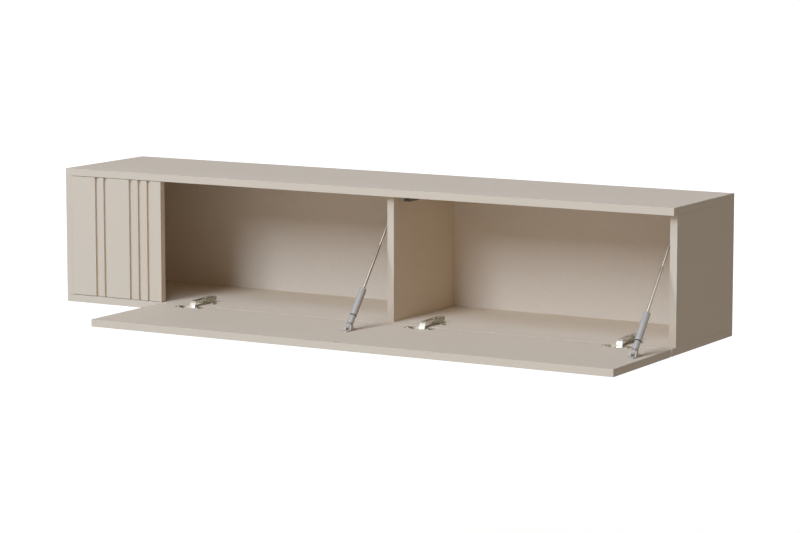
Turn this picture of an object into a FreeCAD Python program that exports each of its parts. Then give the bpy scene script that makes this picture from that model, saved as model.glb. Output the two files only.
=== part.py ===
"""Wall-hung media console: a cabinet with a fluted fixed front and one long drop-down flap.

Part frame: origin in the middle of the wall plane at the underside, X to the right,
Y towards the wall, Z up, millimetres. The flap is drawn open, level with the bottom panel.
"""
import FreeCAD, Part
import os
import re

import Sketcher

DOC = FreeCAD.newDocument("media_console")

SIZES = {
    # cabinet
    "cabinet_width": 1500,
    "cabinet_depth": 300,
    "cabinet_height": 302,
    "board_thickness": 16,
    "left_opening_width": 569,
    # back panel, in a groove of the top, bottom and side panels
    "back_thickness": 5,
    "back_recess": 13,
    "groove_depth": 6,
    "groove_clearance": 0.2,
    # fluted fixed front
    "fluted_width": 241,
    "fluted_thickness": 16,
    "fluted_end_gap": 1,
    "flute_width": 9,
    "flute_depth": 5.5,
    "first_slat": 64,
    "second_slat": 14,
    "third_slat": 60,
    "fourth_slat": 15,
    "fifth_slat": 15,
    # flap
    "flap_thickness": 16,
    "flap_gap": 3,
    "flap_side_gap": 3.5,
    "push_gap": 1.5,
    "hinge_axis_inset": 6,
    # dowels and cam fittings of the carcass joints
    "dowel_diameter": 8,
    "dowel_length": 34,
    "dowel_in_face": 12,
    "cam_diameter": 15,
    "cam_thickness": 12.5,
    "cam_centre_distance": 24,
    "bolt_diameter": 6,
    "bolt_in_face": 11,
    "bolt_head_diameter": 7,
    "bolt_head_length": 4,
    "bolt_hole_diameter": 8,
    "joinery_clearance": 0.05,
    "joint_edge_distance": 50,
    # hinges
    "left_hinge_distance": 90,
    "right_hinge_distance": 110,
    "middle_hinge_distance": 104.5,
    "cup_diameter": 35,
    "cup_depth": 11.5,
    "cup_wall": 1,
    "cup_edge_distance": 22.5,
    "cup_clearance": 0.1,
    "flange_thickness": 1.2,
    "flange_width": 64,
    "flange_front": 11.5,
    "flange_rear": 7.5,
    "flange_rim": 1.5,
    "flange_screw_spacing": 48,
    "flange_screw_offset": 6,
    "hinge_pin_diameter": 3,
    "hinge_pin_clearance": 0.1,
    "hinge_sheet": 1.5,
    "arm_width": 17,
    "arm_start": 18,
    "arm_end": 67,
    "arm_height": 12.6,
    "arm_side_height": 9,
    "arm_front_screw": 36,
    "arm_rear_screw": 55,
    "arm_screw_length": 7,
    "arm_pivot_inset": 3.5,
    "arm_pivot_height": 8,
    "bridge_width": 13.6,
    "bridge_front": 9.8,
    "bridge_swing_room": 5.6,
    "bridge_below_pin": 2.4,
    "knuckle_width": 14,
    "knuckle_gap": 0.4,
    "knuckle_pin_inset": 18.5,
    "knuckle_pin_depth": 5,
    "knuckle_thickness": 4.2,
    "knuckle_heel": 2.5,
    "knuckle_bend_height": 7.4,
    "knuckle_lip": 4,
    "plate_thickness": 2,
    "plate_width": 50,
    "plate_wing_length": 13,
    "plate_hole_distance": 37,
    "plate_hole_spacing": 32,
    "plate_rail_width": 13.4,
    "plate_rail_start": 27,
    "plate_rail_length": 34,
    # flap stays
    "stay_side_distance": 8.5,
    "stay_foot_reach": 127,
    "stay_foot_height": 9.5,
    "stay_head_depth": 74,
    "stay_head_drop": 15,
    "barrel_diameter": 15,
    "barrel_end": 92,
    "fitting_shoulder": 6.5,
    "fitting_end": 25,
    "fitting_ring_length": 1.8,
    "fitting_ring_depth": 1.3,
    "fitting_diameter": 13,
    "fitting_eye_diameter": 12,
    "fitting_neck_width": 6.4,
    "stay_eye_width": 8,
    "stay_pin_diameter": 5,
    "stay_pin_clearance": 0.1,
    "slide_clearance": 0.1,
    "tube_diameter": 6.4,
    "tube_length": 118,
    "tube_overlap": 8,
    "tube_lowest": 12,
    "tube_end_room": 0.5,
    "rod_diameter": 4.2,
    "rod_overlap": 8,
    "rod_end_distance": 5.5,
    "socket_diameter": 10,
    "socket_neck_width": 6.6,
    "socket_length": 9.8,
    "foot_length": 42,
    "foot_width": 15,
    "foot_thickness": 2.5,
    "foot_ear_gap": 0.2,
    "foot_ear_length": 15,
    "foot_ear_height": 13.5,
    "foot_screw_spacing": 31,
    "head_plate_width": 14,
    "head_plate_height": 26,
    "head_plate_thickness": 2.5,
    "head_screw_spacing": 17,
    "stud_gap": 0.3,
    # push latch
    "latch_centre": 120,
    "latch_start": 24,
    "latch_length": 40,
    "latch_width": 13,
    "latch_height": 11,
    "plunger_drop": 6.5,
    "latch_wing_width": 33,
    "latch_wing_length": 10,
    "latch_wing_thickness": 2.5,
    "latch_screw_spacing": 24,
    "plunger_diameter": 5.5,
    "plunger_collar_diameter": 7,
    "plunger_collar_length": 2,
    "plunger_length": 30,
    "plunger_clearance": 0.1,
    "plunger_room": 5,
    "strike_diameter": 7,
    "strike_thickness": 1,
    "strike_stud_diameter": 2.5,
    "strike_stud_length": 6,
    "strike_gap": 0.3,
    # screws, pan head
    "screw_head_diameter": 7,
    "screw_head_height": 1.5,
    "screw_diameter": 3.5,
    "screw_length": 11,
    "screw_clearance": 0.05,
    # wall plates and the hooks that hang on them
    "hanger_edge_distance": 100,
    "hanger_width": 60,
    "hanger_sheet": 2,
    "hanger_pocket": 3,
    "hook_length": 22,
    "hook_flange": 8,
    "hook_clearance": 0.5,
    "hook_screw_spacing": 36,
    "wall_plate_height": 50,
    "wall_lip_height": 10,
    "wall_hole_diameter": 6.5,
    "wall_hole_spacing": 30,
    "wall_hole_edge": 10,
}

# Places that several pieces share, as formulas of the sizes above.
FRONT = "-cabinet_depth"
INNER_TOP = "(cabinet_height - board_thickness)"
BACK_FACE = "(-back_recess - back_thickness)"
BOARD_FRONT = "(-cabinet_depth + flap_thickness + push_gap)"
LEFT_INNER = "(-cabinet_width / 2 + board_thickness)"
RIGHT_INNER = "(cabinet_width / 2 - board_thickness)"
FLUTED_RIGHT = "(-cabinet_width / 2 + board_thickness + fluted_width)"
CENTRE_DIVIDER = f"({FLUTED_RIGHT} + left_opening_width)"
FLAP_LEFT = f"({FLUTED_RIGHT} + flap_side_gap)"
FLAP_REAR = "(-cabinet_depth + 2 * hinge_axis_inset - board_thickness - flap_gap)"
FLAP_LENGTH = "(cabinet_height - 2 * board_thickness - 2 * flap_gap)"
CUP_CENTRE = f"({FLAP_REAR} - cup_edge_distance)"
FOOT_PIVOT_Y = "(-cabinet_depth - stay_foot_reach)"
FOOT_PIVOT_Z = "(flap_thickness + stay_foot_height)"
HEAD_PIVOT_Y = "(-cabinet_depth + stay_head_depth)"
HEAD_PIVOT_Z = f"({INNER_TOP} - stay_head_drop)"
STAY_RUN = "(stay_foot_reach + stay_head_depth)"
STAY_RISE = f"({HEAD_PIVOT_Z} - {FOOT_PIVOT_Z})"
STAY_LENGTH = f"sqrt({STAY_RUN} ^ 2 + {STAY_RISE} ^ 2)"
ARM_PIVOT_Y = "(-cabinet_depth + arm_start + arm_pivot_inset)"
ARM_PIVOT_Z = "(board_thickness + arm_pivot_height)"

HINGES = {
    "left": f"({FLAP_LEFT} + left_hinge_distance)",
    "middle": f"({CENTRE_DIVIDER} + middle_hinge_distance)",
    "right": "(cabinet_width / 2 - right_hinge_distance)",
}
STAYS = {
    "left": f"({CENTRE_DIVIDER} - stay_side_distance)",
    "right": f"({RIGHT_INNER} - stay_side_distance)",
}
HANGERS = {
    "left": "(-cabinet_width / 2 + hanger_edge_distance)",
    "right": "(cabinet_width / 2 - hanger_edge_distance)",
}

# Upright boards that are joined to the top and bottom panels: left face of each.
UPRIGHTS = {
    "left_side_panel": "(-cabinet_width / 2)",
    "centre_divider": CENTRE_DIVIDER,
    "right_side_panel": RIGHT_INNER,
}
BOLT_STATIONS = ("(-cabinet_depth + joint_edge_distance)", "(-joint_edge_distance)")

# Dowels, x and y: one in each end of an upright, and two in each end of the fluted front.
FLUTED_DOWELS = ("first_slat / 2", "(first_slat + second_slat + third_slat / 2 + 2 * flute_width)")
DOWELS = [
    (f"{left_face} + board_thickness / 2", "(-cabinet_depth / 2)")
    for left_face in UPRIGHTS.values()
] + [
    (f"{LEFT_INNER} + {distance}", "(-cabinet_depth + fluted_thickness / 2)")
    for distance in FLUTED_DOWELS
]

# Screw places, which the drilled boards share: x, y and z under the screw's head.
FLANGE_SCREWS = [
    (f"{x} + {side} * flange_screw_spacing / 2", f"{CUP_CENTRE} - flange_screw_offset",
     "flap_thickness + flange_thickness")
    for x in HINGES.values() for side in (-1, 1)
]
PLATE_SCREWS = [
    (f"{x} + {side} * plate_hole_spacing / 2", "-cabinet_depth + plate_hole_distance",
     "board_thickness + plate_thickness")
    for x in HINGES.values() for side in (-1, 1)
]
ARM_SCREWS = [
    (x, f"-cabinet_depth + {distance}", "board_thickness + arm_height")
    for x in HINGES.values() for distance in ("arm_front_screw", "arm_rear_screw")
]
FOOT_SCREWS = [
    (x, f"{FOOT_PIVOT_Y} + {side} * foot_screw_spacing / 2", "flap_thickness + foot_thickness")
    for x in STAYS.values() for side in (-1, 1)
]
HEAD_SCREWS = {
    name: [(f"{x} + stay_side_distance - head_plate_thickness", HEAD_PIVOT_Y,
            f"{HEAD_PIVOT_Z} + {side} * head_screw_spacing / 2") for side in (-1, 1)]
    for name, x in STAYS.items()
}
LATCH_SCREWS = [
    (f"latch_centre + {side} * latch_screw_spacing / 2",
     "-cabinet_depth + latch_start + latch_length / 2", f"{INNER_TOP} - latch_wing_thickness")
    for side in (-1, 1)
]
HOOK_SCREWS = [
    (f"{x} + {side} * hook_screw_spacing / 2",
     "-hanger_sheet * 2 - hook_clearance - hook_flange / 2", f"{INNER_TOP} - hanger_sheet")
    for x in HANGERS.values() for side in (-1, 1)
]

DOWN = FreeCAD.Rotation()
UP = FreeCAD.Rotation(FreeCAD.Vector(1, 0, 0), 180)
TO_RIGHT = FreeCAD.Rotation(FreeCAD.Vector(0, 1, 0), 90)
TO_LEFT = FreeCAD.Rotation(FreeCAD.Vector(0, 1, 0), -90)

# Sides of the small fittings that repeat and of the holes that they sit in.
FACETS = 8

PIECES = []


# ---------------------------------------------------------------- sheet and formulas
def make_sheet():
    """Write every driving dimension into a sheet, one aliased cell each."""
    sheet = DOC.addObject("Spreadsheet::Sheet", "Sizes")
    for row, (name, value) in enumerate(SIZES.items(), start=1):
        sheet.set(f"A{row}", name)
        sheet.set(f"B{row}", str(value))
        sheet.setAlias(f"B{row}", name)
    DOC.recompute()


def from_sheet(formula):
    """Return the formula with each size's name pointing at its cell."""
    return re.sub(r"[a-z_]+", lambda word: cell_name(word.group()), formula)


def cell_name(word):
    """Return Sizes.word where word is a size, and word itself where it is a function."""
    return "Sizes." + word if word in SIZES else word


def bind(target, **formulas):
    """Bind properties of target to formulas."""
    for name, formula in formulas.items():
        target.setExpression(name, from_sheet(formula))


def place(target, x="0", y="0", z="0", rotation=DOWN):
    """Put target at a place given by formulas, turned by a fixed rotation."""
    target.Placement = FreeCAD.Placement(FreeCAD.Vector(), rotation)
    for axis, formula in zip("xyz", (x, y, z)):
        target.setExpression(f"Placement.Base.{axis}", from_sheet(formula))


def finish(piece, label):
    """Label a piece, which names its file, and keep it for export."""
    piece.Label = label
    PIECES.append(piece)
    return piece


# ---------------------------------------------------------------- sketches and features
def new_body(label, x="0", y="0", z="0"):
    """Start a body for one piece at the given place."""
    body = DOC.addObject("PartDesign::Body", label)
    place(body, x, y, z)
    return finish(body, label)


def new_sketch(body, plane_role, offset="0"):
    """Add a sketch on one of the body's own planes, moved along its normal."""
    sketch = body.newObject("Sketcher::SketchObject", body.Name + "_sketch")
    plane = next(item for item in body.Origin.OriginFeatures if item.Role == plane_role)
    sketch.AttachmentSupport = (plane, [""])
    sketch.MapMode = "FlatFace"
    sketch.setExpression("AttachmentOffset.Base.z", from_sheet(offset))
    return sketch


def pin_point(sketch, geometry, point, x, y):
    """Hold a point of the sketch at formulas x, y."""
    for kind, formula in (("DistanceX", x), ("DistanceY", y)):
        index = sketch.addConstraint(Sketcher.Constraint(kind, -1, 1, geometry, point, 1.0))
        sketch.setExpression(f"Constraints[{index}]", from_sheet(formula))


def draw_outline(sketch, corners):
    """Draw a closed outline of straight edges through the corners."""
    first = sketch.GeometryCount
    count = len(corners)
    ring = [FreeCAD.Vector(100, 0, 0) for _ in corners]
    for index in range(count):
        turn = FreeCAD.Rotation(FreeCAD.Vector(0, 0, 1), 360 * index / count)
        ring[index] = turn.multVec(ring[index])
    for index in range(count):
        sketch.addGeometry(Part.LineSegment(ring[index], ring[(index + 1) % count]))
    for index in range(count):
        following = first + (index + 1) % count
        sketch.addConstraint(Sketcher.Constraint("Coincident", first + index, 2, following, 1))
    for index, (x, y) in enumerate(corners):
        pin_point(sketch, first + index, 1, x, y)


def draw_box(sketch, x_low, x_high, y_low, y_high):
    """Draw a rectangle between formulas."""
    draw_outline(sketch, [(x_low, y_low), (x_high, y_low), (x_high, y_high), (x_low, y_high)])


def draw_circle(sketch, x, y, diameter):
    """Draw a circle at formulas x, y."""
    circle = Part.Circle(FreeCAD.Vector(10, 10, 0), FreeCAD.Vector(0, 0, 1), 3)
    index = sketch.addGeometry(circle)
    pin_point(sketch, index, 3, x, y)
    width = sketch.addConstraint(Sketcher.Constraint("Diameter", index, 6.0))
    sketch.setExpression(f"Constraints[{width}]", from_sheet(diameter))


def pad(body, sketch, length, reverse=False, both_sides=False):
    """Add material along the sketch's normal, or half of it to each side."""
    feature = body.newObject("PartDesign::Pad", body.Name + "_pad")
    feature.Profile = sketch
    feature.Reversed = reverse
    feature.Midplane = both_sides
    bind(feature, Length=length)


def pocket(body, sketch, depth, reverse=False, both_sides=False):
    """Cut against the sketch's normal, or along it when reversed."""
    feature = body.newObject("PartDesign::Pocket", body.Name + "_pocket")
    feature.Profile = sketch
    feature.Reversed = reverse
    feature.Midplane = both_sides
    bind(feature, Length=depth)


def revolve(body, sketch):
    """Turn a profile of the XZ plane round the body's Z axis."""
    feature = body.newObject("PartDesign::Revolution", body.Name + "_revolution")
    feature.Profile = sketch
    feature.ReferenceAxis = (sketch, ["V_Axis"])
    feature.Angle = 360


def cylinder(diameter, length, x="0", y="0", z="0", rotation=DOWN):
    """Return a round bar that starts at a place and runs along its rotated Z."""
    bar = DOC.addObject("Part::Cylinder", "bar")
    bind(bar, Radius=f"({diameter}) / 2", Height=length)
    place(bar, x, y, z, rotation)
    return bar


def prism(diameter, length, x="0", y="0", z="0", rotation=DOWN):
    """Return a bar with few flat sides, for the small fittings that repeat."""
    bar = DOC.addObject("Part::Prism", "prism")
    bar.Polygon = FACETS
    bind(bar, Circumradius=f"({diameter}) / 2", Height=length)
    place(bar, x, y, z, rotation)
    return bar


def drill(body, plane_role, offset, holes, depth, reverse=False):
    """Drill round holes, each x, y and diameter, from one plane of the body."""
    sketch = new_sketch(body, plane_role, offset)
    for x, y, diameter in holes:
        draw_circle(sketch, x, y, diameter)
    pocket(body, sketch, depth, reverse)


def drill_faceted(body, plane_role, offset, holes, depth, reverse=False):
    """Drill holes for faceted fittings, each x, y and diameter, from one plane of the body."""
    sketch = new_sketch(body, plane_role, offset)
    for x, y, diameter in holes:
        draw_outline(sketch, facet_corners(x, y, diameter))
    pocket(body, sketch, depth, reverse)


def facet_corners(x, y, diameter):
    """Return the corners of a faceted hole round a place."""
    corners = []
    for index in range(FACETS):
        turn = f"{360 * index // FACETS} deg"
        corners.append((f"{x} + ({diameter}) / 2 * cos({turn})",
                        f"{y} + ({diameter}) / 2 * sin({turn})"))
    return corners


def screw_holes(places):
    """Return the drilled holes under screws that stand along Z."""
    return [(x, y, "screw_diameter + 2 * screw_clearance") for x, y, _ in places]


def make_screws(label, places, rotation, length="screw_length"):
    """Make a group of pan-head screws whose shanks point along the rotated -Z."""
    screws = []
    for x, y, z in places:
        head = prism("screw_head_diameter", "screw_head_height", x, y, z, rotation)
        shank = prism("screw_diameter", length, x, y, z, rotation * UP)
        screw = DOC.addObject("Part::Fuse", "screw")
        screw.Base = head
        screw.Tool = shank
        screws.append(screw)
    group = DOC.addObject("Part::Compound", label)
    group.Links = screws
    finish(group, label)


# ---------------------------------------------------------------- carcass
def face_holes():
    """Return the dowel and bolt holes of the top and bottom panels."""
    dowels = [(x, y, "dowel_diameter + 2 * joinery_clearance") for x, y in DOWELS]
    bolts = [(f"{left_face} + board_thickness / 2", y, "bolt_diameter + 2 * joinery_clearance")
             for left_face in UPRIGHTS.values() for y in BOLT_STATIONS]
    return dowels, bolts


def make_flat_panel(label, z, inner_face_up, screw_places):
    """Make the top or bottom panel, drilled and grooved on its inner face."""
    body = new_body(label, z=z)
    outline = new_sketch(body, "XY_Plane")
    draw_box(outline, "-cabinet_width / 2", "cabinet_width / 2", FRONT, "0")
    pad(body, outline, "board_thickness")
    face = "board_thickness" if inner_face_up else "0"
    into_board = not inner_face_up
    dowels, bolts = face_holes()
    drill_faceted(body, "XY_Plane", face, dowels, "dowel_in_face", into_board)
    drill_faceted(body, "XY_Plane", face, bolts, "bolt_in_face", into_board)
    drill_faceted(body, "XY_Plane", face, screw_holes(screw_places), "screw_length", into_board)
    groove = new_sketch(body, "XY_Plane", face)
    draw_box(groove, f"{LEFT_INNER} - groove_depth", f"{RIGHT_INNER} + groove_depth",
             f"{BACK_FACE} - groove_clearance", "-back_recess + groove_clearance")
    pocket(body, groove, "groove_depth", into_board)


def make_upright(label, front, rear, cam_on_right, groove_on_right=None, screw_places=()):
    """Make one upright board with its end drilling, cam bores and back groove."""
    body = new_body(label, x=UPRIGHTS[label])
    outline = new_sketch(body, "YZ_Plane")
    draw_box(outline, front, rear, "board_thickness", INNER_TOP)
    pad(body, outline, "board_thickness")
    middle = "board_thickness / 2"
    end_dowels = [(middle, "-cabinet_depth / 2", "dowel_diameter + 2 * joinery_clearance")]
    end_bolts = [(middle, y, "bolt_hole_diameter") for y in BOLT_STATIONS]
    for level, upward in (("board_thickness", True), (INNER_TOP, False)):
        drill_faceted(body, "XY_Plane", level, end_dowels, "dowel_length - dowel_in_face", upward)
        drill_faceted(body, "XY_Plane", level, end_bolts, "cam_centre_distance", upward)
    cams = [(y, z, "cam_diameter + 2 * joinery_clearance") for y in BOLT_STATIONS
            for z in ("board_thickness + cam_centre_distance", f"{INNER_TOP} - cam_centre_distance")]
    cam_face = "board_thickness" if cam_on_right else "0"
    drill_faceted(body, "YZ_Plane", cam_face, cams, "cam_thickness", not cam_on_right)
    if groove_on_right is not None:
        groove = new_sketch(body, "YZ_Plane", "board_thickness" if groove_on_right else "0")
        draw_box(groove, f"{BACK_FACE} - groove_clearance", "-back_recess + groove_clearance",
                 "board_thickness", INNER_TOP)
        pocket(body, groove, "groove_depth", not groove_on_right)
    if screw_places:
        holes = [(y, z, "screw_diameter + 2 * screw_clearance") for _, y, z in screw_places]
        drill_faceted(body, "YZ_Plane", "0", holes, "screw_length", True)


def make_carcass():
    """Make the fixed boards."""
    make_flat_panel("bottom_panel", "0", True, PLATE_SCREWS)
    make_flat_panel("top_panel", INNER_TOP, False, LATCH_SCREWS + HOOK_SCREWS)
    make_upright("left_side_panel", FRONT, "0", True, groove_on_right=True)
    make_upright("centre_divider", BOARD_FRONT, BACK_FACE, False, screw_places=HEAD_SCREWS["left"])
    make_upright("right_side_panel", BOARD_FRONT, "0", False, groove_on_right=False,
                 screw_places=HEAD_SCREWS["right"])


def make_back_panel():
    """Make the thin back, which reaches into the grooves on all four sides."""
    back = DOC.addObject("Part::Box", "back_panel")
    reach = "2 * (groove_depth - groove_clearance)"
    bind(back, Length=f"cabinet_width - 2 * board_thickness + {reach}", Width="back_thickness",
         Height=f"cabinet_height - 2 * board_thickness + {reach}")
    place(back, f"{LEFT_INNER} - groove_depth + groove_clearance", BACK_FACE,
          "board_thickness - groove_depth + groove_clearance")
    finish(back, "back_panel")


def make_fluted_front():
    """Make the fixed front with its uneven run of flutes and its dowel holes."""
    body = new_body("fluted_front", LEFT_INNER, FRONT, "board_thickness")
    slats = ["first_slat", "second_slat", "third_slat", "fourth_slat", "fifth_slat"]
    corners = [("0", "fluted_thickness"), ("0", "0")]
    edge = "0"
    for slat in slats:
        start = f"{edge} + {slat}"
        edge = f"{start} + flute_width"
        corners += [(start, "0"), (start, "flute_depth"), (edge, "flute_depth"), (edge, "0")]
    corners += [("fluted_width", "0"), ("fluted_width", "fluted_thickness")]
    plan = new_sketch(body, "XY_Plane", "fluted_end_gap")
    draw_outline(plan, corners)
    pad(body, plan, "cabinet_height - 2 * board_thickness - 2 * fluted_end_gap")
    holes = [(x, "fluted_thickness / 2", "dowel_diameter + 2 * joinery_clearance")
             for x in FLUTED_DOWELS]
    depth = "dowel_length - dowel_in_face - fluted_end_gap"
    top = "cabinet_height - 2 * board_thickness - fluted_end_gap"
    drill_faceted(body, "XY_Plane", "fluted_end_gap", holes, depth, True)
    drill_faceted(body, "XY_Plane", top, holes, depth)


def make_joinery():
    """Make the dowels, cams and bolts that join the boards."""
    dowels = [prism("dowel_diameter", "dowel_length", x, y, foot, rotation)
              for x, y in DOWELS for foot, rotation in (
                  ("board_thickness - dowel_in_face", DOWN), (f"{INNER_TOP} + dowel_in_face", UP))]
    cams = []
    bolts = []
    for label, left_face in UPRIGHTS.items():
        middle = f"{left_face} + board_thickness / 2"
        cam_start = left_face
        if label == "left_side_panel":
            cam_start = f"{left_face} + board_thickness - cam_thickness"
        for end, rotation in (("board_thickness", DOWN), (INNER_TOP, UP)):
            side = "+" if rotation is DOWN else "-"
            for y in BOLT_STATIONS:
                centre = f"{end} {side} cam_centre_distance"
                cams.append(make_cam(cam_start, middle, y, end, centre, rotation))
                bolts.append(make_bolt(middle, y, f"{end} - ({side}bolt_in_face)", rotation))
    make_group("panel_dowels", dowels)
    make_group("cam_locks", cams)
    make_group("cam_bolts", bolts)


def make_group(label, items):
    """Make one node of several separate solids."""
    group = DOC.addObject("Part::Compound", label)
    group.Links = items
    return finish(group, label)


def make_cam(cam_start, middle, y, end, centre, rotation):
    """Return a cam: a round lock with a bore that takes the bolt's head."""
    barrel = prism("cam_diameter", "cam_thickness", cam_start, y, centre, TO_RIGHT)
    bore = prism("bolt_hole_diameter", "cam_centre_distance + bolt_head_length / 2",
                 middle, y, end, rotation)
    cam = DOC.addObject("Part::Cut", "cam")
    cam.Base = barrel
    cam.Tool = bore
    return cam


def make_bolt(x, y, start, rotation):
    """Return a cam bolt: a shank that screws into the panel's face, and its head."""
    shank = prism("bolt_diameter", "bolt_in_face + cam_centre_distance", x, y, start, rotation)
    head_turn = rotation * UP
    side = "+" if rotation is DOWN else "-"
    tip = f"{start} + ({side}(bolt_in_face + cam_centre_distance))"
    head = prism("bolt_head_diameter", "bolt_head_length", x, y, tip, head_turn)
    bolt = DOC.addObject("Part::Fuse", "bolt")
    bolt.Base = shank
    bolt.Tool = head
    return bolt


# ---------------------------------------------------------------- wall hanging
def make_hangers():
    """Make the two wall plates and the two hooks that hang on them."""
    shelf_top = f"{INNER_TOP} - hook_length"
    for name, x in HANGERS.items():
        plate = new_body(f"wall_plate_{name}", x=x, z=f"{shelf_top} - wall_plate_height")
        outer = "-2 * hanger_sheet - hanger_pocket"
        profile = [
            ("0", "0"), ("0", "wall_plate_height"),
            (f"{outer} + hanger_sheet", "wall_plate_height"),
            (f"{outer} + hanger_sheet", "wall_plate_height + wall_lip_height"),
            (outer, "wall_plate_height + wall_lip_height"),
            (outer, "wall_plate_height - hanger_sheet"),
            ("-hanger_sheet", "wall_plate_height - hanger_sheet"), ("-hanger_sheet", "0"),
        ]
        section = new_sketch(plate, "YZ_Plane")
        draw_outline(section, profile)
        pad(plate, section, "hanger_width", both_sides=True)
        holes = [("0", level, "wall_hole_diameter")
                 for level in ("wall_hole_edge", "wall_hole_edge + wall_hole_spacing")]
        drill(plate, "XZ_Plane", "0", holes, "hanger_sheet", True)

        hook = new_body(f"hanger_hook_{name}", x=x, z=INNER_TOP)
        leg_back = "-hanger_sheet - hook_clearance"
        leg_front = f"{leg_back} - hanger_sheet"
        section = new_sketch(hook, "YZ_Plane")
        draw_outline(section, [
            (leg_back, "-hook_length"), (leg_back, "0"), (f"{leg_front} - hook_flange", "0"),
            (f"{leg_front} - hook_flange", "-hanger_sheet"), (leg_front, "-hanger_sheet"),
            (leg_front, "-hook_length"),
        ])
        pad(hook, section, "hanger_width", both_sides=True)
        holes = [(f"{side} * hook_screw_spacing / 2", f"{leg_front} - hook_flange / 2",
                  "screw_diameter + 2 * screw_clearance") for side in (-1, 1)]
        drill_faceted(hook, "XY_Plane", "0", holes, "hanger_sheet")
    make_screws("hanger_screws", HOOK_SCREWS, UP)


# ---------------------------------------------------------------- flap
def make_flap():
    """Make the drop-down flap, bored for the hinge cups and drilled for its fittings."""
    body = new_body("flap_panel")
    outline = new_sketch(body, "XY_Plane")
    draw_box(outline, FLAP_LEFT, "cabinet_width / 2", f"{FLAP_REAR} - {FLAP_LENGTH}", FLAP_REAR)
    pad(body, outline, "flap_thickness")
    cups = [(x, CUP_CENTRE, "cup_diameter") for x in HINGES.values()]
    drill(body, "XY_Plane", "flap_thickness", cups, "cup_depth")
    drill_faceted(body, "XY_Plane", "flap_thickness", screw_holes(FLANGE_SCREWS + FOOT_SCREWS),
                  "screw_length")
    stud_hole = "strike_stud_diameter + 2 * screw_clearance"
    drill_faceted(body, "XY_Plane", "flap_thickness", [("latch_centre", strike_y(), stud_hole)],
                  "strike_stud_length")


def strike_y():
    """Return the strike's place on the open flap, opposite the latch when it is shut."""
    latch_level = f"({INNER_TOP} - plunger_drop)"
    return f"(-cabinet_depth + 2 * hinge_axis_inset - {latch_level})"


def make_strike():
    """Make the round strike that the latch's plunger meets, with the stud that holds it."""
    plate = cylinder("strike_diameter", "strike_thickness", "latch_centre", strike_y(),
                     "flap_thickness")
    stud = prism("strike_stud_diameter", "strike_stud_length", "latch_centre", strike_y(),
                 "flap_thickness", UP)
    strike = DOC.addObject("Part::Fuse", "strike")
    strike.Base = plate
    strike.Tool = stud
    finish(strike, "latch_strike")


# ---------------------------------------------------------------- hinges
def make_hinges():
    """Make the three concealed hinges: plate, arm, bridge, knuckle and cup of each."""
    for name, x in HINGES.items():
        make_hinge_plate(f"hinge_plate_{name}", x)
        make_hinge_arm(f"hinge_arm_{name}", x)
        make_hinge_bridge(f"hinge_bridge_{name}", x)
        make_hinge_knuckle(f"hinge_knuckle_{name}", x)
        make_hinge_cup(f"hinge_cup_{name}", x)
    make_screws("hinge_plate_screws", PLATE_SCREWS, DOWN)
    make_screws("hinge_cup_screws", FLANGE_SCREWS, DOWN)
    make_screws("hinge_adjusting_screws", ARM_SCREWS, DOWN, "arm_screw_length")


def make_hinge_plate(label, x):
    """Make the mounting plate: two screwed wings and the rail that the arm sits on."""
    body = new_body(label, x, FRONT, "board_thickness")
    wings = new_sketch(body, "XY_Plane")
    draw_box(wings, "-plate_width / 2", "plate_width / 2",
             "plate_hole_distance - plate_wing_length / 2",
             "plate_hole_distance + plate_wing_length / 2")
    pad(body, wings, "plate_thickness")
    rail = new_sketch(body, "XY_Plane")
    draw_box(rail, "-plate_rail_width / 2", "plate_rail_width / 2",
             "plate_rail_start", "plate_rail_start + plate_rail_length")
    pad(body, rail, "arm_height - hinge_sheet")
    holes = [(f"{side} * plate_hole_spacing / 2", "plate_hole_distance",
              "screw_diameter + 2 * screw_clearance") for side in (-1, 1)]
    drill_faceted(body, "XY_Plane", "plate_thickness", holes, "plate_thickness")
    seats = [("0", distance, "screw_diameter + 2 * screw_clearance")
             for distance in ("arm_front_screw", "arm_rear_screw")]
    drill_faceted(body, "XY_Plane", "arm_height - hinge_sheet", seats,
                  "arm_screw_length - hinge_sheet")


def make_hinge_arm(label, x):
    """Make the fixed arm: a channel open at its nose, with the pin of the bridge."""
    body = new_body(label, x, ARM_PIVOT_Y, ARM_PIVOT_Z)
    top = "arm_height - arm_pivot_height"
    low = f"{top} - arm_side_height"
    rear = "arm_end - arm_start - arm_pivot_inset"
    side = new_sketch(body, "YZ_Plane")
    draw_outline(side, [
        ("-arm_pivot_inset", f"{low} + arm_side_height / 3"),
        ("-arm_pivot_inset + arm_side_height / 3", low), (f"{rear} - arm_side_height / 2", low),
        (rear, f"{low} + arm_side_height / 2"), (rear, top),
        ("-arm_pivot_inset + arm_side_height / 4", top),
        ("-arm_pivot_inset", f"{top} - arm_side_height / 4"),
    ])
    pad(body, side, "arm_width", both_sides=True)
    channel = new_sketch(body, "XZ_Plane", "arm_pivot_inset")
    draw_box(channel, "-arm_width / 2 + hinge_sheet", "arm_width / 2 - hinge_sheet",
             low, f"{top} - hinge_sheet")
    pocket(body, channel, "arm_end - arm_start")
    nose = new_sketch(body, "XY_Plane", top)
    draw_box(nose, "-arm_width / 2 + hinge_sheet", "arm_width / 2 - hinge_sheet",
             "-arm_pivot_inset", "bridge_swing_room")
    pocket(body, nose, "hinge_sheet")
    holes = [("0", f"{distance} - arm_start - arm_pivot_inset",
              "screw_diameter + 2 * screw_clearance")
             for distance in ("arm_front_screw", "arm_rear_screw")]
    drill_faceted(body, "XY_Plane", top, holes, "hinge_sheet")
    pin = new_sketch(body, "YZ_Plane")
    draw_circle(pin, "0", "0", "hinge_pin_diameter")
    pad(body, pin, "arm_width", both_sides=True)


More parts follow.
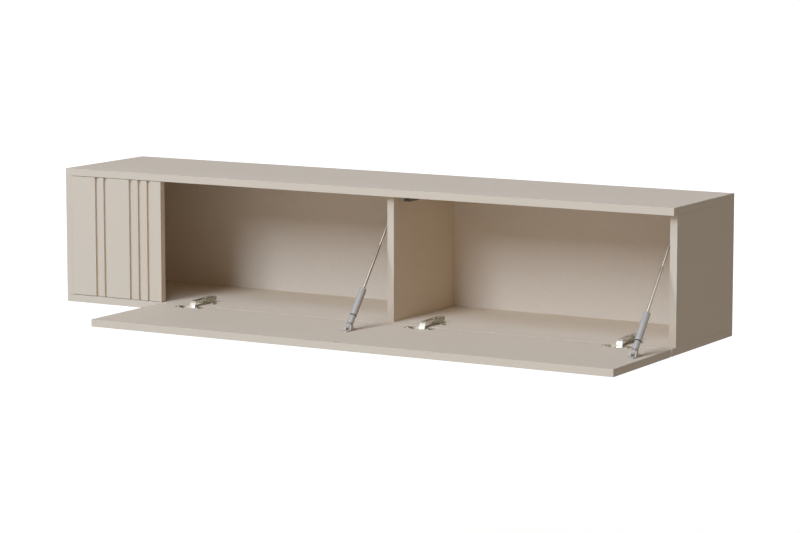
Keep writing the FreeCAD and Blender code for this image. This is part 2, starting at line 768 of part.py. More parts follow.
def make_hinge_bridge(label, x):
    """Make the swinging bridge: a channel from the arm's pin to the knuckle."""
    body = new_body(label, x, ARM_PIVOT_Y, ARM_PIVOT_Z)
    top = "arm_height - arm_pivot_height"
    front = "-arm_start - arm_pivot_inset - bridge_front"
    side = new_sketch(body, "YZ_Plane")
    draw_outline(side, [
        ("bridge_below_pin", "-bridge_below_pin / 2"), ("bridge_below_pin", "bridge_below_pin"),
        ("bridge_below_pin / 3", top), (front, top), (front, "-bridge_below_pin / 2"),
        ("-bridge_below_pin * 2", "-bridge_below_pin"), ("bridge_below_pin / 2", "-bridge_below_pin"),
    ])
    pad(body, side, "bridge_width", both_sides=True)
    channel = new_sketch(body, "XZ_Plane", "-bridge_below_pin")
    draw_box(channel, "-bridge_width / 2 + hinge_sheet", "bridge_width / 2 - hinge_sheet",
             "-bridge_below_pin", f"{top} - hinge_sheet")
    pocket(body, channel, "arm_end", True)
    hole = new_sketch(body, "YZ_Plane")
    draw_circle(hole, "0", "0", "hinge_pin_diameter + 2 * hinge_pin_clearance")
    pocket(body, hole, "bridge_width", both_sides=True)


def make_hinge_knuckle(label, x):
    """Make the knuckle, a bent strap that stands up from its pin in the cup."""
    body = new_body(label, x, "-cabinet_depth - knuckle_pin_inset",
                    "flap_thickness - knuckle_pin_depth")
    reach = "(knuckle_pin_inset - bridge_front - knuckle_gap)"
    rise = "(board_thickness + arm_height - flap_thickness + knuckle_pin_depth)"
    strap = "knuckle_thickness"
    side = new_sketch(body, "YZ_Plane")
    draw_outline(side, [
        ("-knuckle_heel", f"-{strap} / 2"), (f"{strap} / 2", f"-{strap} / 2"),
        (strap, f"{rise} / 3"), (reach, f"{rise} - knuckle_lip"), (reach, rise),
        (f"{reach} - {strap}", rise), (f"{reach} - {strap}", f"{rise} - knuckle_lip"),
        ("0", "knuckle_bend_height"), ("-knuckle_heel", f"{strap} / 2"),
    ])
    pad(body, side, "knuckle_width", both_sides=True)
    hole = new_sketch(body, "YZ_Plane")
    draw_circle(hole, "0", "0", "hinge_pin_diameter + 2 * hinge_pin_clearance")
    pocket(body, hole, "knuckle_width", both_sides=True)


def make_hinge_cup(label, x):
    """Make the cup, its flange, the notch that lets the knuckle out, and its pin."""
    body = new_body(label, x, CUP_CENTRE, "flap_thickness")
    outer = "(cup_diameter - 2 * cup_clearance)"
    inner = f"({outer} - 2 * cup_wall)"
    well = new_sketch(body, "XY_Plane")
    draw_circle(well, "0", "0", outer)
    pad(body, well, "cup_depth", reverse=True)
    flange = new_sketch(body, "XY_Plane")
    draw_box(flange, "-flange_width / 2", "flange_width / 2", "-flange_front", "flange_rear")
    pad(body, flange, "flange_thickness")
    rim = new_sketch(body, "XY_Plane")
    draw_circle(rim, "0", "0", "cup_diameter + 2 * flange_rim")
    pad(body, rim, "flange_thickness")
    drill(body, "XY_Plane", "flange_thickness", [("0", "0", inner)],
          "flange_thickness + cup_depth - cup_wall")
    notch = new_sketch(body, "XY_Plane", "flange_thickness")
    draw_box(notch, "-arm_width / 2 - hinge_sheet / 2", "arm_width / 2 + hinge_sheet / 2",
             "cup_diameter / 3", "cup_diameter / 2 + 2 * flange_rim")
    pocket(body, notch, "flange_thickness + knuckle_thickness")
    holes = [(f"{side} * flange_screw_spacing / 2", "-flange_screw_offset",
              "screw_diameter + 2 * screw_clearance") for side in (-1, 1)]
    drill_faceted(body, "XY_Plane", "flange_thickness", holes, "flange_thickness")
    pin = new_sketch(body, "YZ_Plane")
    pin_y = f"(-cabinet_depth - knuckle_pin_inset - {CUP_CENTRE})"
    draw_circle(pin, pin_y, "-knuckle_pin_depth", "hinge_pin_diameter")
    pad(body, pin, f"2 * sqrt(({outer} / 2) ^ 2 - ({pin_y} + hinge_pin_diameter / 2) ^ 2) - cup_wall",
        both_sides=True)


# ---------------------------------------------------------------- flap stays
def lean(piece, x, along="0"):
    """Put a stay piece on the stay's line, its own Z along the line from foot to head."""
    piece.Placement = FreeCAD.Placement(FreeCAD.Vector(), FreeCAD.Vector(1, 0, 0), 0)
    tilt = f"atan2({STAY_RUN}; {STAY_RISE})"
    bind(piece, **{"Placement.Rotation.Angle": f"-{tilt}"})
    piece.setExpression("Placement.Base.x", from_sheet(x))
    piece.setExpression("Placement.Base.y", from_sheet(f"{FOOT_PIVOT_Y} + ({along}) * sin({tilt})"))
    piece.setExpression("Placement.Base.z", from_sheet(f"{FOOT_PIVOT_Z} + ({along}) * cos({tilt})"))


def make_stays():
    """Make the two telescopic flap stays, each with its foot and its head plate."""
    for name, x in STAYS.items():
        make_stay_foot(f"stay_foot_{name}", x)
        make_stay_fitting(f"stay_fitting_{name}", x)
        make_stay_barrel(f"stay_barrel_{name}", x)
        make_stay_tube(f"stay_tube_{name}", x)
        make_stay_rod(f"stay_rod_{name}", x)
        make_stay_socket(f"stay_socket_{name}", x)
        make_stay_head(f"stay_head_{name}", x)
    make_screws("stay_foot_screws", FOOT_SCREWS, DOWN)
    make_screws("stay_head_screws", HEAD_SCREWS["left"] + HEAD_SCREWS["right"], TO_LEFT)


def make_stay_foot(label, x):
    """Make the foot on the flap: a base, two ears and the pin between them."""
    body = new_body(label, x, FOOT_PIVOT_Y, "flap_thickness")
    base = new_sketch(body, "XY_Plane")
    draw_box(base, "-foot_width / 2", "foot_width / 2", "-foot_length / 2", "foot_length / 2")
    pad(body, base, "foot_thickness")
    ears = new_sketch(body, "YZ_Plane")
    draw_outline(ears, [
        ("-foot_ear_length / 2", "0"), ("foot_ear_length / 2", "0"),
        ("foot_ear_length / 4", "foot_ear_height"), ("-foot_ear_length / 4", "foot_ear_height"),
    ])
    pad(body, ears, "foot_width", both_sides=True)
    gap = new_sketch(body, "XY_Plane", "foot_thickness")
    half = "stay_eye_width / 2 + foot_ear_gap"
    draw_box(gap, f"-({half})", half, "-foot_ear_length / 2", "foot_ear_length / 2")
    pocket(body, gap, "foot_ear_height", True)
    pin = new_sketch(body, "YZ_Plane")
    draw_circle(pin, "0", "stay_foot_height", "stay_pin_diameter")
    pad(body, pin, "foot_width", both_sides=True)
    holes = [("0", f"{side} * foot_screw_spacing / 2", "screw_diameter + 2 * screw_clearance")
             for side in (-1, 1)]
    drill_faceted(body, "XY_Plane", "foot_thickness", holes, "foot_thickness")


def make_stay_fitting(label, x):
    """Make the end fitting: a sleeve with an eye on the foot's pin and a bore for the tube."""
    body = new_body(label)
    lean(body, x)
    sleeve = new_sketch(body, "XY_Plane", "fitting_shoulder")
    draw_circle(sleeve, "0", "0", "fitting_diameter")
    pad(body, sleeve, "fitting_end - fitting_shoulder")
    neck = new_sketch(body, "YZ_Plane")
    draw_box(neck, "-fitting_neck_width / 2", "fitting_neck_width / 2", "0", "fitting_shoulder")
    pad(body, neck, "stay_eye_width", both_sides=True)
    eye = new_sketch(body, "YZ_Plane")
    draw_circle(eye, "0", "0", "fitting_eye_diameter")
    pad(body, eye, "stay_eye_width", both_sides=True)
    hole = new_sketch(body, "YZ_Plane")
    draw_circle(hole, "0", "0", "stay_pin_diameter + 2 * stay_pin_clearance")
    pocket(body, hole, "stay_eye_width", both_sides=True)
    bore = "tube_diameter + 2 * slide_clearance"
    drill(body, "XY_Plane", "fitting_end", [("0", "0", bore)],
          "fitting_end - tube_lowest + tube_end_room")


def make_stay_barrel(label, x):
    """Make the damper barrel, with a ring groove where it meets the end fitting."""
    body = new_body(label)
    lean(body, x)
    bore = "(tube_diameter / 2 + slide_clearance)"
    skin = "(barrel_diameter / 2)"
    ring = "fitting_end + fitting_ring_length"
    wall = new_sketch(body, "XZ_Plane")
    draw_outline(wall, [
        (bore, "fitting_end"), (f"{skin} - fitting_ring_depth", "fitting_end"),
        (f"{skin} - fitting_ring_depth", ring), (skin, ring), (skin, "barrel_end"),
        (bore, "barrel_end"),
    ])
    revolve(body, wall)


def make_stay_tube(label, x):
    """Make the middle section, a tube that slides in the barrel."""
    body = new_body(label)
    lean(body, x, "barrel_end - tube_overlap")
    wall = new_sketch(body, "XZ_Plane")
    draw_box(wall, "rod_diameter / 2 + slide_clearance", "tube_diameter / 2", "0", "tube_length")
    revolve(body, wall)


def make_stay_rod(label, x):
    """Make the inner rod, which slides in the tube."""
    start = "(barrel_end - tube_overlap + tube_length - rod_overlap)"
    rod = cylinder("rod_diameter", f"{STAY_LENGTH} - rod_end_distance - {start}")
    lean(rod, x, start)
    finish(rod, label)


def make_stay_socket(label, x):
    """Make the socket on the rod's end, an eye with a neck that holds the rod."""
    body = new_body(label)
    lean(body, x, STAY_LENGTH)
    neck = new_sketch(body, "YZ_Plane")
    draw_box(neck, "-socket_neck_width / 2", "socket_neck_width / 2", "-socket_length", "0")
    pad(body, neck, "socket_neck_width", both_sides=True)
    eye = new_sketch(body, "YZ_Plane")
    draw_circle(eye, "0", "0", "socket_diameter")
    pad(body, eye, "stay_eye_width", both_sides=True)
    hole = new_sketch(body, "YZ_Plane")
    draw_circle(hole, "0", "0", "stay_pin_diameter + 2 * stay_pin_clearance")
    pocket(body, hole, "stay_eye_width", both_sides=True)
    seat = "rod_diameter + 2 * joinery_clearance"
    drill(body, "XY_Plane", "-socket_length", [("0", "0", seat)],
          "socket_length - rod_end_distance", True)


def make_stay_head(label, x):
    """Make the plate with the head stud, which stops just short of the socket."""
    body = new_body(label, f"{x} + stay_side_distance", HEAD_PIVOT_Y, HEAD_PIVOT_Z)
    plate = new_sketch(body, "YZ_Plane")
    draw_box(plate, "-head_plate_width / 2", "head_plate_width / 2",
             "-head_plate_height / 2", "head_plate_height / 2")
    pad(body, plate, "head_plate_thickness", reverse=True)
    stud = new_sketch(body, "YZ_Plane")
    draw_circle(stud, "0", "0", "stay_pin_diameter")
    pad(body, stud, "stay_side_distance - stay_eye_width / 2 - stud_gap", reverse=True)
    holes = [("0", f"{side} * head_screw_spacing / 2", "screw_diameter + 2 * screw_clearance")
             for side in (-1, 1)]
    drill_faceted(body, "YZ_Plane", "-head_plate_thickness", holes, "head_plate_thickness", True)


# ---------------------------------------------------------------- push latch
def make_latch():
    """Make the push latch under the top panel: its housing and its plunger."""
    body = new_body("latch_housing", "latch_centre", "-cabinet_depth + latch_start", INNER_TOP)
    block = new_sketch(body, "XY_Plane")
    draw_box(block, "-latch_width / 2", "latch_width / 2", "0", "latch_length")
    pad(body, block, "latch_height", reverse=True)
    wings = new_sketch(body, "XY_Plane")
    draw_box(wings, "-latch_wing_width / 2", "latch_wing_width / 2",
             "latch_length / 2 - latch_wing_length / 2", "latch_length / 2 + latch_wing_length / 2")
    pad(body, wings, "latch_wing_thickness", reverse=True)
    bore = new_sketch(body, "XZ_Plane")
    draw_circle(bore, "0", "-plunger_drop", "plunger_diameter + 2 * plunger_clearance")
    pocket(body, bore, "plunger_length + plunger_room")
    holes = [(f"{side} * latch_screw_spacing / 2", "latch_length / 2",
              "screw_diameter + 2 * screw_clearance") for side in (-1, 1)]
    drill_faceted(body, "XY_Plane", "-latch_wing_thickness", holes, "latch_wing_thickness", True)
    make_screws("latch_screws", LATCH_SCREWS, UP)

    tip = "flap_thickness + strike_thickness + strike_gap"
    plunger = new_body("latch_plunger", "latch_centre", f"-cabinet_depth + {tip}",
                       f"{INNER_TOP} - plunger_drop")
    stem = new_sketch(plunger, "XZ_Plane")
    draw_circle(stem, "0", "0", "plunger_diameter")
    pad(plunger, stem, "plunger_length", reverse=True)
    collar = new_sketch(plunger, "XZ_Plane")
    draw_circle(collar, "0", "0", "plunger_collar_diameter")
    pad(plunger, collar, "plunger_collar_length", reverse=True)


# ---------------------------------------------------------------- checks and export
def check_document():
    """Stop with a plain message where an object failed or a cut removed nothing."""
    for item in DOC.Objects:
        if {"Invalid", "Error"} & set(item.State):
            raise RuntimeError(f"{item.Name} failed: {item.State}")
        if item.isDerivedFrom("PartDesign::Pocket"):
            before = item.BaseFeature.Shape.Volume
            if item.Shape.Volume >= before - 1e-6:
                raise RuntimeError(f"{item.Name} cuts nothing")
    for piece in PIECES:
        if piece.Shape.isNull() or not piece.Shape.isValid():
            raise RuntimeError(f"{piece.Label} has no valid shape")


def export_pieces():
    """Write each piece to its own file."""
    os.makedirs("parts", exist_ok=True)
    for piece in PIECES:
        piece.Shape.exportStep(f"parts/{piece.Label}.step")


def main():
    """Build, check and write the console."""
    make_sheet()
    make_carcass()
    make_back_panel()
    make_fluted_front()
    make_joinery()
    make_hangers()
    make_flap()
    make_strike()
    make_hinges()
    make_stays()
    make_latch()
    DOC.recompute()
    check_document()
    export_pieces()
    print(len(PIECES), "pieces")


main()
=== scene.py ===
"""Dresses the wall-hung media console: boards, back, hinges, stays, latch, screws and studio.

Metres, in the part's own frame: X right along the console, Y towards the wall, Z up.
A value whose name ends in _mm is in millimetres.
"""

import logging
import math
from dataclasses import dataclass, field
from enum import Enum
from typing import Any

import bmesh
import bpy
from bpy.types import Material, Mesh, Node, NodeSocket, NodeTree, Object
from mathutils import Matrix, Vector

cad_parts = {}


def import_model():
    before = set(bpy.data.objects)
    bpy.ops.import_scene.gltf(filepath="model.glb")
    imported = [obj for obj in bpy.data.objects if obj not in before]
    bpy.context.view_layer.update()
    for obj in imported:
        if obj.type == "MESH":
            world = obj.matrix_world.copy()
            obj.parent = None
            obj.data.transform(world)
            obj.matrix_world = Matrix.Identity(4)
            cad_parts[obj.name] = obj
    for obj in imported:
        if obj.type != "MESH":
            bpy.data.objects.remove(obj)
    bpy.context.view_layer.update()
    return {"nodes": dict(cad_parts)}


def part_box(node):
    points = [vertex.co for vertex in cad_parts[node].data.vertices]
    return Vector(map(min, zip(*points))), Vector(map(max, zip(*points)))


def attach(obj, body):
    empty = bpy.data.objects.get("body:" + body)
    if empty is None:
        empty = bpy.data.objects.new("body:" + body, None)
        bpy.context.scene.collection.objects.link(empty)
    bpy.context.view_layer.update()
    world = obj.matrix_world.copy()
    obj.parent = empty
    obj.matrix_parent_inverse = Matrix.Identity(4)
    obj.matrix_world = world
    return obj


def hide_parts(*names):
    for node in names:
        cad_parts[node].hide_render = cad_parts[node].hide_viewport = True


Colour = tuple[float, float, float, float]
Point = tuple[float, float, float]

LOG = logging.getLogger("console")
MM = 0.001
# The decor's pattern along the board has this share of its scale across the board.
DECOR_STRETCH = 0.12
# Nearly all values of a noise pattern lie between these two.
NOISE_LOW = 0.3
NOISE_HIGH = 0.7
# Corners of neighbouring facets that are closer than this are one corner.
SAME_CORNER_MM = 0.002
# A rim between faces that turn by more than this is sharp.
SHARP_TURN = math.radians(40)
# No point of a board has a rim at this depth, so a board without edging shows no glue line.
NO_EDGING_MM = -5.0


class Axis(Enum):
    """The direction that a screw's head looks in."""

    UP = (0.0, 0.0, 1.0)
    DOWN = (0.0, 0.0, -1.0)
    LEFT = (-1.0, 0.0, 0.0)


class Grain(Enum):
    """How a board's decor runs: stretched along one axis of the board."""

    ALONG_X = (DECOR_STRETCH, 1.0, 1.0)
    ALONG_Y = (1.0, DECOR_STRETCH, 1.0)
    ALONG_Z = (1.0, 1.0, DECOR_STRETCH)


# ---------------------------------------------------------------- colours and nodes
def linear(code: str) -> Colour:
    """Turn an sRGB hex code into an opaque linear colour.

    Args:
        code: six hex digits, such as "bbb6af".

    Returns:
        Red, green, blue and alpha.
    """
    parts = [int(code[i:i + 2], 16) / 255 for i in (0, 2, 4)]
    red, green, blue = (
        part / 12.92 if part <= 0.04045 else ((part + 0.055) / 1.055) ** 2.4 for part in parts
    )
    return red, green, blue, 1.0


def add_node(tree: NodeTree, kind: str, settings: dict[str, Any] | None = None,
             inputs: dict[str | int, Any] | None = None) -> Node:
    """Add a node, set it up and feed its inputs.

    Args:
        tree: the node tree that takes the node.
        kind: the node's type name.
        settings: attributes of the node itself.
        inputs: a value or another node's output for each input, by name or number.

    Returns:
        The new node.
    """
    node = tree.nodes.new(kind)
    for name, value in (settings or {}).items():
        setattr(node, name, value)
    for key, value in (inputs or {}).items():
        if isinstance(value, NodeSocket):
            tree.links.new(value, node.inputs[key])
        else:
            node.inputs[key].default_value = value
    return node


def place_on_part(tree: NodeTree) -> NodeSocket:
    """Give the shaded point in the part's own coordinates.

    Args:
        tree: the material's tree.

    Returns:
        The point.
    """
    return add_node(tree, "ShaderNodeTexCoord").outputs["Object"]


def stretch(tree: NodeTree, place: NodeSocket, scale: Point) -> NodeSocket:
    """Scale a point before it goes into a pattern.

    Args:
        tree: the material's tree.
        place: the point.
        scale: the factor along each axis.

    Returns:
        The scaled point.
    """
    return add_node(tree, "ShaderNodeMapping", inputs={
        "Vector": place, "Scale": scale}).outputs["Vector"]


def noise(tree: NodeTree, place: NodeSocket, size_mm: float, detail: float,
          roughness: float = 0.5, distortion: float = 0.0) -> NodeSocket:
    """Add a noise pattern with a real size.

    Args:
        tree: the material's tree.
        place: the point on the part.
        size_mm: the size of its coarsest blobs.
        detail: how many finer layers lie over them.
        roughness: how strong the finer layers are.
        distortion: how much the pattern is bent.

    Returns:
        The pattern, from 0 to 1.
    """
    return add_node(tree, "ShaderNodeTexNoise", inputs={
        "Vector": place, "Scale": 1 / (size_mm * MM), "Detail": detail,
        "Roughness": roughness, "Distortion": distortion}).outputs["Fac"]


def blend(tree: NodeTree, share: NodeSocket, first: NodeSocket | Colour,
          second: NodeSocket | Colour) -> NodeSocket:
    """Mix two colours.

    Args:
        tree: the material's tree.
        share: how much of the second one shows.
        first: one colour.
        second: the other colour.

    Returns:
        The mixed colour.
    """
    return add_node(tree, "ShaderNodeMix", {"data_type": "RGBA"}, {
        "Factor": share, 6: first, 7: second}).outputs[2]


def spread(tree: NodeTree, pattern: NodeSocket, low: float, high: float,
           pattern_low: float = NOISE_LOW, pattern_high: float = NOISE_HIGH) -> NodeSocket:
    """Spread a pattern over a range of values.

    Args:
        tree: the material's tree.
        pattern: the pattern.
        low: the value where the pattern is low.
        high: the value where it is high.
        pattern_low: what counts as low.
        pattern_high: what counts as high.

    Returns:
        The values.
    """
    return add_node(tree, "ShaderNodeMapRange", inputs={
        "Value": pattern, "From Min": pattern_low, "From Max": pattern_high,
        "To Min": low, "To Max": high}).outputs[0]


def relief(tree: NodeTree, height: NodeSocket, strength: float, depth_mm: float) -> NodeSocket:
    """Turn a pattern into a fine relief.

    Args:
        tree: the material's tree.
        height: the pattern.
        strength: how much of the relief shows.
        depth_mm: its depth.

    Returns:
        The bent normal.
    """
    return add_node(tree, "ShaderNodeBump", inputs={
        "Height": height, "Strength": strength, "Distance": depth_mm * MM}).outputs[0]


def calculate(tree: NodeTree, operation: str, *values: NodeSocket | float) -> NodeSocket:
    """Calculate with numbers.

    Args:
        tree: the tree that asks.
        operation: the name of the operation.
        values: what goes in, in the operation's order.

    Returns:
        The result.
    """
    return add_node(tree, "ShaderNodeMath", {"operation": operation},
                    dict(enumerate(values))).outputs[0]


def calculate_vector(tree: NodeTree, operation: str,
                     *values: NodeSocket | Vector) -> NodeSocket:
    """Calculate a vector from vectors.

    Args:
        tree: the tree that asks.
        operation: the name of the operation.
        values: what goes in, in the operation's order.

    Returns:
        The result.
    """
    return add_node(tree, "ShaderNodeVectorMath", {"operation": operation},
                    dict(enumerate(values))).outputs["Vector"]


def measure_vector(tree: NodeTree, operation: str,
                   *values: NodeSocket | Vector) -> NodeSocket:
    """Calculate a number from vectors.

    Args:
        tree: the tree that asks.
        operation: the name of the operation.
        values: what goes in, in the operation's order.

    Returns:
        The result.
    """
    return add_node(tree, "ShaderNodeVectorMath", {"operation": operation},
                    dict(enumerate(values))).outputs["Value"]


def new_material(name: str) -> tuple[Material, NodeTree]:
    """Make an empty node material.

    Args:
        name: what the finish is.

    Returns:
        The material and its cleared tree.
    """
    material = bpy.data.materials.new(name)
    material.use_nodes = True
    material.node_tree.nodes.clear()
    return material, material.node_tree


def close_material(tree: NodeTree, shader: Node) -> None:
    """Join a shader to the material's output.

    Args:
        tree: the material's tree.
        shader: the last shader node.
    """
    add_node(tree, "ShaderNodeOutputMaterial", inputs={"Surface": shader.outputs[0]})


def close_surface(tree: NodeTree, inputs: dict[str | int, Any]) -> None:
    """Make the surface's shader and join it to the material's output.

    Args:
        tree: the material's tree.
        inputs: the surface's colour, roughness and other properties.
    """
    close_material(tree, add_node(tree, "ShaderNodeBsdfPrincipled", inputs=inputs))


# ---------------------------------------------------------------- finishes
@dataclass(frozen=True)
class MelamineBoard:
    """Melamine-faced chipboard: decor paper pressed under resin with a fine matt emboss.

    The paper is nearly even, so the eye finds only a faint cloud in the colour, a
    dry low gloss and, at each rim, the thin line where the ABS edging is glued on.
    """

    face: str = "e0d0bb"
    cloud: str = "dbcab3"
    seam: str = "baa997"
    cloud_mm: float = 140.0
    # The real emboss is about 0.3 mm; it is drawn at 1.6 mm so that it shows.
    emboss_mm: float = 1.6
    emboss_depth_mm: float = 0.12
    emboss_strength: float = 0.12
    roughness_low: float = 0.55
    roughness_high: float = 0.67
    refraction: float = 1.5
    sheen: float = 0.1
    edging_mm: float = 1.0
    seam_mm: float = 0.12

    def make(self, name: str, low: Vector, high: Vector, grain: Grain) -> Material:
        """Make the finish for one board, with its edging's glue line at that board's rims.

        Args:
            name: the board's name.
            low: the board's lowest corner.
            high: the board's highest corner.
            grain: the direction of the decor.

        Returns:
            The board's material.
        """
        material, tree = new_material(f"melamine_board_{name}")
        place = place_on_part(tree)
        cloud = noise(tree, stretch(tree, place, grain.value), self.cloud_mm, 4.0, 0.6)
        decor = blend(tree, cloud, linear(self.face), linear(self.cloud))
        pores = noise(tree, place, self.emboss_mm, 3.0, 0.65)
        close_surface(tree, {
            "Base Color": blend(tree, self.rim_line(tree, place, low, high), decor,
                                linear(self.seam)),
            "Roughness": spread(tree, pores, self.roughness_low, self.roughness_high),
            "IOR": self.refraction, "Specular IOR Level": self.sheen,
            "Normal": relief(tree, pores, self.emboss_strength, self.emboss_depth_mm)})
        return material

    def rim_line(self, tree: NodeTree, place: NodeSocket, low: Vector,
                 high: Vector) -> NodeSocket:
        """Mark the glue line, one edging's thickness in from the board's four rims.

        Args:
            tree: the material's tree.
            place: the point on the board.
            low: the board's lowest corner.
            high: the board's highest corner.

        Returns:
            1 on the line and 0 off it.
        """
        size = high - low
        thin = min(range(3), key=lambda axis: size[axis])
        ignore = Vector([1.0 if axis == thin else 0.0 for axis in range(3)])
        from_low = calculate_vector(tree, "SUBTRACT", place, low - ignore)
        from_high = calculate_vector(tree, "SUBTRACT", high + ignore, place)
        nearest = calculate_vector(tree, "MINIMUM", from_low, from_high)
        along_x, along_y, along_z = add_node(
            tree, "ShaderNodeSeparateXYZ", inputs={0: nearest}).outputs
        rim = calculate(tree, "MINIMUM", calculate(tree, "MINIMUM", along_x, along_y), along_z)
        return calculate(tree, "COMPARE", rim, self.edging_mm * MM, self.seam_mm * MM)


@dataclass(frozen=True)
class LacqueredHardboard:
    """Hardboard back, roller-lacquered: dead flat, with a faint fibre mottle and low gloss."""

    face: str = "e7d9c9"
    fibre: str = "e1d2c1"
    fibre_mm: float = 9.0
    fibre_low: float = 0.35
    fibre_high: float = 0.75
    fibre_depth_mm: float = 0.2
    fibre_strength: float = 0.15
    roughness: float = 0.62
    refraction: float = 1.5

    def make(self) -> Material:
        """Make the back's material.

        Returns:
            The material.
        """
        material, tree = new_material("lacquered_hardboard")
        fibre = noise(tree, place_on_part(tree), self.fibre_mm, 8.0, 0.75, 0.6)
        mottle = spread(tree, fibre, 0.0, 1.0, self.fibre_low, self.fibre_high)
        close_surface(tree, {
            "Base Color": blend(tree, mottle, linear(self.face), linear(self.fibre)),
            "Roughness": self.roughness, "IOR": self.refraction,
            "Normal": relief(tree, fibre, self.fibre_strength, self.fibre_depth_mm)})
        return material


@dataclass(frozen=True)
class PlatedSteel:
    """Steel or zinc with a plated or polished skin, marked by how it was finished.

    The lines of the tool or the tumbling drum break its mirror into soft streaks.
    """

    name: str
    shine: str
    shade: str
    roughness: float
    mark_mm: float
    stretch: Point = (1.0, 1.0, 1.0)
    depth_mm: float = 0.02
    mark_strength: float = 0.2
    smoothest: float = 0.8
    roughest: float = 1.3

    def make(self) -> Material:
        """Make the metal's material.

        Returns:
            The material.
        """
        material, tree = new_material(self.name)
        place = stretch(tree, place_on_part(tree), self.stretch)
        marks = noise(tree, place, self.mark_mm, 5.0, 0.6)
        close_surface(tree, {
            "Base Color": blend(tree, marks, linear(self.shine), linear(self.shade)),
            "Metallic": 1.0,
            "Roughness": spread(tree, marks, self.roughness * self.smoothest,
                                self.roughness * self.roughest),
            "Normal": relief(tree, marks, self.mark_strength, self.depth_mm)})
        return material


@dataclass(frozen=True)
class MouldedPlastic:
    """Moulded acetal or painted fittings: even colour, satin, with a fine spark-eroded skin."""

    name: str
    colour: str
    shade: str
    roughness: float = 0.42
    smoother: float = 0.04
    rougher: float = 0.08
    cloud_mm: float = 11.1111
    # The spark-eroded skin is about 0.1 mm; it is drawn at 0.6 mm so that it shows.
    skin_mm: float = 0.6
    skin_depth_mm: float = 0.05
    skin_strength: float = 0.15
    refraction: float = 1.48

    def skin(self, tree: NodeTree) -> dict[str | int, Any]:
        """Add the plastic's patterns to a material.

        Args:
            tree: the material's tree.

        Returns:
            The surface's properties.
        """
        place = place_on_part(tree)
        skin = noise(tree, place, self.skin_mm, 2.0)
        cloud = noise(tree, place, self.cloud_mm, 3.0)
        return {
            "Base Color": blend(tree, cloud, linear(self.colour), linear(self.shade)),
            "Roughness": spread(tree, skin, self.roughness - self.smoother,
                                self.roughness + self.rougher),
            "IOR": self.refraction,
            "Normal": relief(tree, skin, self.skin_strength, self.skin_depth_mm)}

    def make(self) -> Material:
        """Make the plastic's material.

        Returns:
            The material.
        """
        material, tree = new_material(self.name)
        close_surface(tree, self.skin(tree))
        return material


@dataclass(frozen=True)
class PaintWithGrooveShade:
    """Paint on a stay's barrel, with painted shade: a dark band that stands for the shade in
    its ring groove.
    """

    paint: MouldedPlastic
    groove_shade: MouldedPlastic

    def make(self, side: str, along: Vector, limit: float) -> Material:
        """Make the material, painted groove shade below a plane across the barrel and paint
        above it.

        Args:
            side: which stay.
            along: the direction up the barrel, of length 1.
            limit: how far along that direction the painted groove shade ends.

        Returns:
            The material.
        """
        material, tree = new_material(f"{self.paint.name}_{side}")
        reach = measure_vector(tree, "DOT_PRODUCT", place_on_part(tree), along)
        # Painted shade: the barrel's foot end, up to the end of the ring groove, takes the dark
        # colour.
        below = calculate(tree, "LESS_THAN", reach, limit)
        surface = self.paint.skin(tree)
        groove_shade = self.groove_shade.skin(tree)
        surface["Base Color"] = blend(tree, below, surface["Base Color"], groove_shade["Base Color"])
        surface["Roughness"] = add_node(tree, "ShaderNodeMix", inputs={
            "Factor": below, 2: surface["Roughness"], 3: groove_shade["Roughness"]}).outputs[0]
        close_surface(tree, surface)
        return material


@dataclass(frozen=True)
class TurnedBeech:
    """Plain beech dowel: pale brown with short darker flecks along the grain."""

    wood: str = "c9a77c"
    fleck: str = "a67f52"
    fleck_mm: float = 1.2
    roughness: float = 0.7

    def make(self) -> Material:
        """Make the dowels' material.

        Returns:
            The material.
        """
        material, tree = new_material("turned_beech")
        along = stretch(tree, place_on_part(tree), Grain.ALONG_Z.value)
        fleck = noise(tree, along, self.fleck_mm, 4.0)
        close_surface(tree, {
            "Base Color": blend(tree, fleck, linear(self.wood), linear(self.fleck)),
            "Roughness": self.roughness})
        return material


NICKEL = PlatedSteel("bright_nickel_plate", "dcd9ce", "c9c5b7", 0.26, 6.0)
NICKEL_SATIN = PlatedSteel("satin_nickel_plate", "b4b09d", "a29e8b", 0.42, 8.0, depth_mm=0.01)
STEEL = PlatedSteel("ground_steel_bar", "aa9d8c", "8f8476", 0.36, 0.8, stretch=(1.0, 0.3, 0.3))
ZINC = PlatedSteel("tumbled_zinc_casting", "b9b9b6", "9a9a97", 0.45, 1.5, depth_mm=0.06)
SCREW_STEEL = PlatedSteel("zinc_plated_screw", "bfb9aa", "9f998b", 0.36, 0.9)
SHEET_STEEL = PlatedSteel("galvanised_sheet", "c3c4c3", "a1a3a3", 0.4, 14.0)
GREY_ACETAL = MouldedPlastic("grey_acetal", "c4baad", "bbb0a2")
SILVER_PAINT = MouldedPlastic("silver_painted_barrel", "b8b1a7", "ada69b", roughness=0.36)
BROWN_ACETAL = MouldedPlastic("grey_brown_acetal", "7a6f61", "706557")
DARK_ACETAL = MouldedPlastic("dark_acetal", "3d372f", "332e27")
# Painted shade: the dark colour that stands for the shade in each stay barrel's ring groove.
GROOVE_SHADE_COLOUR = MouldedPlastic("painted_groove_shade", "2b2926", "24221f", roughness=0.7)
BARREL_PAINT_WITH_GROOVE_SHADE = PaintWithGrooveShade(SILVER_PAINT, GROOVE_SHADE_COLOUR)


# ---------------------------------------------------------------- meshes
def dress(node: Object, material: Material) -> None:
    """Give a CAD node one material.

    Args:
        node: the node's object.
        material: its finish.
    """
    node.data.materials.clear()
    node.data.materials.append(material)


